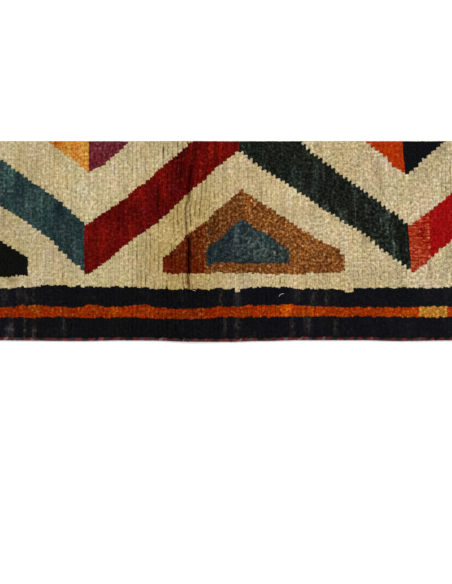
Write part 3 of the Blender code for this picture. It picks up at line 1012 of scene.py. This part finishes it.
def yarn_mesh(name, paths, radius, material, dyes, closed=False, sides=6):
    """Yarns that follow paths: an array of (yarn, point, xyz). Closed ones go round X."""
    count, steps = paths.shape[:2]
    ahead = np.roll(paths, -1, 1) - np.roll(paths, 1, 1)
    if not closed:
        ahead[:, 0], ahead[:, -1] = paths[:, 1] - paths[:, 0], paths[:, -1] - paths[:, -2]
    ahead /= np.linalg.norm(ahead, axis=2, keepdims=True)
    aside = np.cross(ahead, (0.0, 0.0, 1.0) if not closed else (1.0, 0.0, 0.0))
    aside /= np.linalg.norm(aside, axis=2, keepdims=True)
    upward = np.cross(aside, ahead)
    angle = np.arange(sides) * math.tau / sides
    ring = aside[:, :, None] * np.cos(angle)[:, None]
    ring = ring + upward[:, :, None] * np.sin(angle)[:, None]
    radius = np.broadcast_to(radius, (count, steps))
    points = paths[:, :, None] + ring * radius[:, :, None, None]
    faces = [tube_faces(steps, sides, count, closed)]
    if not closed:
        first = (np.arange(count) * steps * sides)[:, None]
        faces += [np.arange(sides)[::-1] + first, (steps - 1) * sides + np.arange(sides) + first]
    gone = np.linalg.norm(np.diff(paths, axis=1), axis=2).cumsum(1)
    run = np.concatenate([np.zeros((count, 1)), gone], 1)
    kept = np.zeros((count, steps, sides, 3))
    kept[..., 0] = run[:, :, None]
    kept[..., 1] = np.arange(sides) / sides
    piece = make_piece(name, points.reshape(-1, 3), faces, material)
    keep(piece, "yarn", kept.reshape(-1, 3))
    keep(piece, "dyed", np.broadcast_to(dyes[:, None, None], kept.shape).reshape(-1, 3))
    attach(piece, "root")
    return piece


WRAP_STEPS = 16
# The wrapping yarn's radius, and how much of it lies inside the cord's own outline.
WRAP_YARN = 0.68 * MM
WRAP_SINKS = 0.8
# How far the cord draws in between two groups of wraps.
WRAP_WAIST = 0.22 * MM
# How much the wraps differ: in reach, slant, thickness as a share, and tone.
WRAP_REACH_DIFFERS = 0.05 * MM
WRAP_SLANT_DIFFERS = 0.03
WRAP_YARN_DIFFERS = 0.05
WRAP_TONES = (1, 0.13, 0.6, 1.4)
# Within this of the cut ends the wraps stand more and more upright.
WRAP_UPRIGHT = 4 * MM
# The dyes of the wraps: a run of one of the reds, then a run of one of the others. Columns:
# colour, fewest and most wraps in a run.
CORD_REDS = (((94, 28, 32), 3, 6), ((74, 27, 30), 3, 6), ((114, 35, 36), 3, 5))
CORD_OTHERS = (
    ((64, 60, 60), 2, 5), ((30, 28, 29), 2, 6), ((94, 92, 88), 1, 3), ((50, 38, 42), 2, 5),
)
# How dark and how light a whole run may be.
CORD_RUN_SHADES = 0.7, 1.3


def make_side_cord(chance):
    """The overcast selvedge: groups of slanting wraps, madder and grey by turns."""
    wraps = WRAP_GROUPS * WRAPS_IN_GROUP
    place = (np.arange(wraps) + 0.5) / wraps
    within = np.arange(wraps) % WRAPS_IN_GROUP
    x = LENGTH * (place - 0.5) * (1 - WRAP_YARN / LENGTH)
    bulge = np.sin(np.pi * (within + 0.5) / WRAPS_IN_GROUP)
    reach = CORD_RADIUS - WRAP_YARN * WRAP_SINKS - WRAP_WAIST * (1 - bulge)
    reach = reach + chance.normal(0, WRAP_REACH_DIFFERS, wraps)
    angle = np.arange(WRAP_STEPS) * math.tau / WRAP_STEPS
    slant = WRAP_SLANT + chance.normal(0, WRAP_SLANT_DIFFERS, wraps)
    slant = slant * np.minimum(1, (LENGTH / 2 - np.abs(x)) / WRAP_UPRIGHT)
    across = reach[:, None] * np.cos(angle)
    up = reach[:, None] * np.sin(angle)
    path_x = x[:, None] + slant[:, None] * across
    centre_y = selvedge(path_x) + CORD_RADIUS
    floor = WRAP_YARN - CORD_RADIUS
    paths = np.stack(
        [path_x, centre_y + across, CORD_RADIUS + lift(path_x) + np.maximum(up, floor)], -1
    )
    dyes = []
    while len(dyes) < wraps:
        for runs in (CORD_REDS, CORD_OTHERS):
            colour, fewest, most = runs[chance.integers(len(runs))]
            shade = chance.uniform(*CORD_RUN_SHADES)
            dyes += [linear(colour) * shade] * int(chance.integers(fewest, most + 1))
    dyes = toned(np.array(dyes[:wraps]), wraps, WRAP_TONES, chance)
    finish = plied_yarn("overcast_yarn")
    radius = (WRAP_YARN * chance.normal(1, WRAP_YARN_DIFFERS, wraps))[:, None]
    piece = yarn_mesh("side_cord_wraps", paths, radius, finish, dyes, closed=True)
    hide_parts("side_cord")
    return piece


CORE_STEPS = 220
CORE_RADIUS = 2.0 * MM
CORE_INSET = 0.9 * MM


def make_cord_core():
    """What fills the wraps, behind the cut ends of the selvedge's warps."""
    x = np.linspace(-LENGTH / 2 + CORE_INSET, LENGTH / 2 - CORE_INSET, CORE_STEPS)
    paths = np.stack([x, selvedge(x) + CORD_RADIUS, CORD_RADIUS + lift(x)], -1)[None]
    finish = plied_yarn("selvedge_warps")
    dyes = SHADED_WARP_DYE[None]
    piece = yarn_mesh("side_cord_core", paths, CORE_RADIUS, finish, dyes, sides=10)
    return piece


# A cut end of yarn starts inside the edge and stands proud of it. It has three points.
STUB_LENGTH = 1.3 * MM
STUB_PROUD = 0.7 * MM
STUB_SHARES = np.array((0.0, 0.5, 1.0))[:, None]
STUB_TAPER = np.array((1.0, 1.0, 0.75))
# The warps: how thick, how high, how far above and below that by turns, how far they droop, what
# shares of STUB_PROUD they stand out, and their tones.
WARP_RADIUS = 0.55 * MM
WARP_HIGH = 0.55 * GROUND
WARP_UP = 0.3 * MM
WARP_DROOP = 0.15 * MM
WARP_PROUD = (0.5, 1.0)
WARP_TONES = (0.95, 0.1, 0.6, 1.2)
# The two wefts between rows: the same, and how far either lies from the middle, in rows.
WEFT_RADIUS = 0.45 * MM
WEFT_ASIDE = 0.11
WEFT_HIGH = 0.5 * GROUND
WEFT_UP = 0.35 * MM
WEFT_DROOP = 0.1 * MM
WEFT_PROUD = (0.4, 1.0)
WEFT_TONES = (1.1, 0.12, 0.6, 1.5)
# The warps inside the side cord: one in the middle and the rest round it at this distance.
CORD_WARPS = 7
CORD_WARPS_OUT = 1.25 * MM


def stub_reach(edge, shares, count, chance):
    """How far from the rug's middle the points of each cut end lie, for an edge so far out."""
    proud = STUB_PROUD * chance.uniform(*shares, count)
    return edge - STUB_LENGTH + (STUB_LENGTH + proud) * STUB_SHARES


def stub_paths(groups):
    """The paths of groups of cut ends, each group given as the x, y and z of its points."""
    paths = [np.stack(np.broadcast_arrays(*group), -1) for group in groups]
    return np.concatenate(paths, 1).transpose(1, 0, 2)


def make_cut_warps(chance):
    """The cut ends of the warps, two to a knot and a bundle in the side cord, along the left
    and right edges."""
    knots = (np.arange(KNOTS * 2) + 0.5) / 2
    angle = np.arange(CORD_WARPS) * math.tau / (CORD_WARPS - 1)
    out_from_middle = np.where(np.arange(CORD_WARPS), CORD_WARPS_OUT, 0)
    groups = []
    for side in (-1, 1):
        edge_row = np.full_like(knots, 0.0 if side < 0 else ROWS)
        x, y = weave_place(edge_row, knots)
        y = np.maximum(y, ground_start(x) + (2 + knots) * CROWDED_KNOT)
        high = WARP_HIGH + np.where(np.arange(len(knots)) % 2, WARP_UP, -WARP_UP)
        cord_y = selvedge(side * LENGTH / 2) + CORD_RADIUS
        y = np.append(y, cord_y + out_from_middle * np.cos(angle))
        high = np.append(high, CORD_RADIUS + out_from_middle * np.sin(angle))
        out = side * stub_reach(LENGTH / 2, WARP_PROUD, len(y), chance)
        groups.append((out, y, high - WARP_DROOP * STUB_SHARES))
    paths = stub_paths(groups)
    dyes = toned(WARP_DYE, len(paths), WARP_TONES, chance)
    radius = WARP_RADIUS * STUB_TAPER[None]
    piece = yarn_mesh("cut_warps", paths, radius, plied_yarn("warp_yarn"), dyes)
    return piece


def make_cut_wefts(chance):
    """The cut ends of the wefts, two between rows, along the far edge."""
    rows = np.arange(1, ROWS)
    groups = []
    for shoot in (-1, 1):
        x = weave_place(rows + shoot * WEFT_ASIDE, np.full(len(rows), float(KNOTS)))[0]
        high = lift(x) + WEFT_HIGH + shoot * WEFT_UP
        y = stub_reach(WIDTH / 2, WEFT_PROUD, len(rows), chance)
        groups.append((x, y, high - WEFT_DROOP * STUB_SHARES))
    paths = stub_paths(groups)
    dyes = toned(WEFT_DYE, len(paths), WEFT_TONES, chance)
    radius = WEFT_RADIUS * STUB_TAPER[None]
    piece = yarn_mesh("cut_wefts", paths, radius, plied_yarn("weft_yarn"), dyes)
    return piece


# The warps of the far edge. Columns: share of the ground's height, which way each waves first,
# and its tone.
EDGE_WARPS = ((0.3, 1, 0.9), (0.74, -1, 1.0))
EDGE_WARP_WAVE = 0.2 * MM


def make_edge_warps():
    """The warps that lie bare along the far edge, in and out between the cut wefts."""
    rows = np.arange(2 * ROWS + 1) / 2
    x, y = weave_place(rows, np.full(len(rows), float(KNOTS)))
    x = np.clip(x, -LENGTH / 2, LENGTH / 2)
    wave = np.cos(rows * math.tau) * EDGE_WARP_WAVE
    paths = np.array(
        [np.stack([x, y + wave * way, lift(x) + GROUND * up], -1) for up, way, _ in EDGE_WARPS]
    )
    dyes = np.array([WARP_DYE * tone for _, _, tone in EDGE_WARPS])
    piece = yarn_mesh("edge_warps", paths, WARP_RADIUS, plied_yarn("edge_warp_yarn"), dyes)
    return piece


# Two bits of pale lint caught in the inner navy stripe. Columns: x, y and length in mm, how much
# it curls in turns, and which way it starts out in radians.
CAUGHT_LINT = (
    (57.8, -59.5, 7.0, -0.26, 1.4),
    (-31.5, -53.4, 3.2, 0.30, 1.9),
)
LINT_DYE = linear((206, 202, 186))
LINT_RADIUS = 0.22 * MM
LINT_CLEAR = 0.1 * MM
LINT_POINTS = 14


def make_caught_lint():
    """Short curls of ivory lint that lie on the pile, thinner towards both ends."""
    share = np.linspace(0, 1, LINT_POINTS)
    paths = []
    for at_x, at_y, length, curl, start in CAUGHT_LINT:
        heading = start + curl * math.tau * share
        step = length * MM / (LINT_POINTS - 1)
        x = at_x * MM + np.cumsum(np.cos(heading)) * step
        y = at_y * MM + np.cumsum(np.sin(heading)) * step
        z = lift(x) + clipped_height(x, y) + LINT_RADIUS + LINT_CLEAR
        paths.append(np.stack([x, y, z], -1))
    taper = LINT_RADIUS * (1 - 0.6 * (2 * share - 1) ** 4)[None]
    dyes = np.tile(LINT_DYE, (len(paths), 1))
    piece = yarn_mesh("caught_lint", np.array(paths), taper, plied_yarn("lint"), dyes, sides=5)
    return piece


# The studio

# The photograph: what one pixel of it covers, its height in pixels and what its centre shows.
PHOTO_SCALE = 1.0698 * MM
PHOTO_HEIGHT = 584
PHOTO_CENTRE = (1.12 * MM, -53.9 * MM)
LENS, SENSOR = 100, 36
NEAR, FAR = 0.05, 20
# Even light from all round, and two soft lights. Columns: name, place, width and power.
LIGHT_ALL_ROUND = 0.62
LIGHTS = (
    ("key", (-0.75, 0.45, 1.5), 0.7, 17),
    ("fill", (0.9, -0.3, 1.5), 1.0, 7),
)
# The floor reaches this far from the middle, lies a hair under the rug and glows a little.
FLOOR_REACH = 3.0
FLOOR_DROP = 0.4 * MM
# The floor's glow is painted light, which washes out the rug's shadow on it.
FLOOR_GLOW = 0.15


def make_camera():
    """Straight over the rug, as the photograph was taken."""
    data = bpy.data.cameras.new("camera")
    data.lens, data.sensor_width = LENS, SENSOR
    data.clip_start, data.clip_end = NEAR, FAR
    camera = bpy.data.objects.new("camera", data)
    away = PHOTO_HEIGHT * PHOTO_SCALE * LENS / SENSOR
    camera.location = (*PHOTO_CENTRE, away + GROUND + PILE)
    bpy.context.scene.collection.objects.link(camera)
    bpy.context.scene.camera = camera


def make_light(name, place, size, power):
    """A large soft light that faces the middle of the rug."""
    data = bpy.data.lights.new(name, "AREA")
    data.shape, data.size, data.energy = "DISK", size, power
    light = bpy.data.objects.new(name, data)
    light.location = place
    x, y, z = place
    light.rotation_euler = (math.atan2(math.hypot(x, y), z), 0, math.atan2(y, x) + math.pi / 2)
    bpy.context.scene.collection.objects.link(light)


def make_studio():
    """A plain pale floor, even light from all round, and two soft lights."""
    scene = bpy.context.scene
    scene.view_settings.view_transform = "Standard"
    world = bpy.data.worlds.new("studio")
    world.use_nodes = True
    world.node_tree.nodes["Background"].inputs[0].default_value = (1, 1, 1, 1)
    world.node_tree.nodes["Background"].inputs[1].default_value = LIGHT_ALL_ROUND
    scene.world = world
    for light in LIGHTS:
        make_light(*light)
    finish = Finish("pale_floor")
    grain = finish.noise(finish.place(), 9 * MM, detail=4)
    finish.set(Base_Color=finish.scaled((0.9, 0.9, 0.9), 1 + 0.01 * grain), Roughness=0.9)
    finish.set(Emission_Color=(1, 1, 1, 1), Emission_Strength=FLOOR_GLOW)
    corners = np.array([(-1, -1, 0), (1, -1, 0), (1, 1, 0), (-1, 1, 0)]) * FLOOR_REACH
    corners[:, 2] = -FLOOR_DROP
    floor = make_piece("floor", corners, [np.array([[0, 1, 2, 3]])], finish.material, smooth=False)


def main():
    make_camera()
    make_studio()
    chance = np.random.default_rng(SEED)
    pile, backs = make_pile(chance)
    ground = make_ground(backs)
    cut_yarns = [make_cut_warps(chance), make_cut_wefts(chance), make_edge_warps()]
    make_side_cord(chance)
    make_cord_core()
    lint = make_caught_lint()


main()
